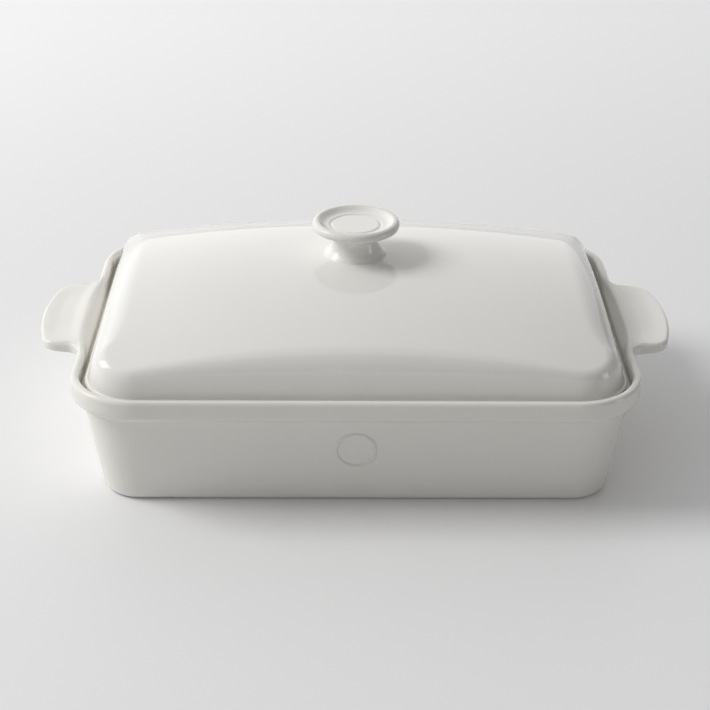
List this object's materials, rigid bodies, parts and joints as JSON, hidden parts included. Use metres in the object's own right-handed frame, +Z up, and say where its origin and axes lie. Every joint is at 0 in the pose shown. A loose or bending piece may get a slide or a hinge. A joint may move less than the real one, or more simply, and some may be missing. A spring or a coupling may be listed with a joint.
{
  "type": "lasagna dish",
  "caption": "Covered rectangular baking dish of glazed ceramic with tab handles at the ends and a domed lid with a round knob that lifts off.",
  "frame": {"origin": "on the table, under the middle of the dish", "axes": "+X along the dish's length, through both handles; +Y towards the back long side; +Z up"},
  "size_m": [0.4188, 0.261, 0.1466],
  "materials": {
    "dish_glaze": "glossy warm white glaze, bare clay on the foot ring",
    "lid_glaze": "glossy warm white glaze"
  },
  "bodies": {
    "dish": {"dish_body": "dish_glaze", "handle_left": "dish_glaze", "handle_right": "dish_glaze"},
    "lid": {"lid_shell": "lid_glaze", "lid_knob": "lid_glaze"}
  },
  "joints": [
    {"name": "lid_lift", "type": "slide", "parent": "dish", "child": "lid", "axis": [0, 0, 1], "range_m": [0, 0.12]}
  ]
}
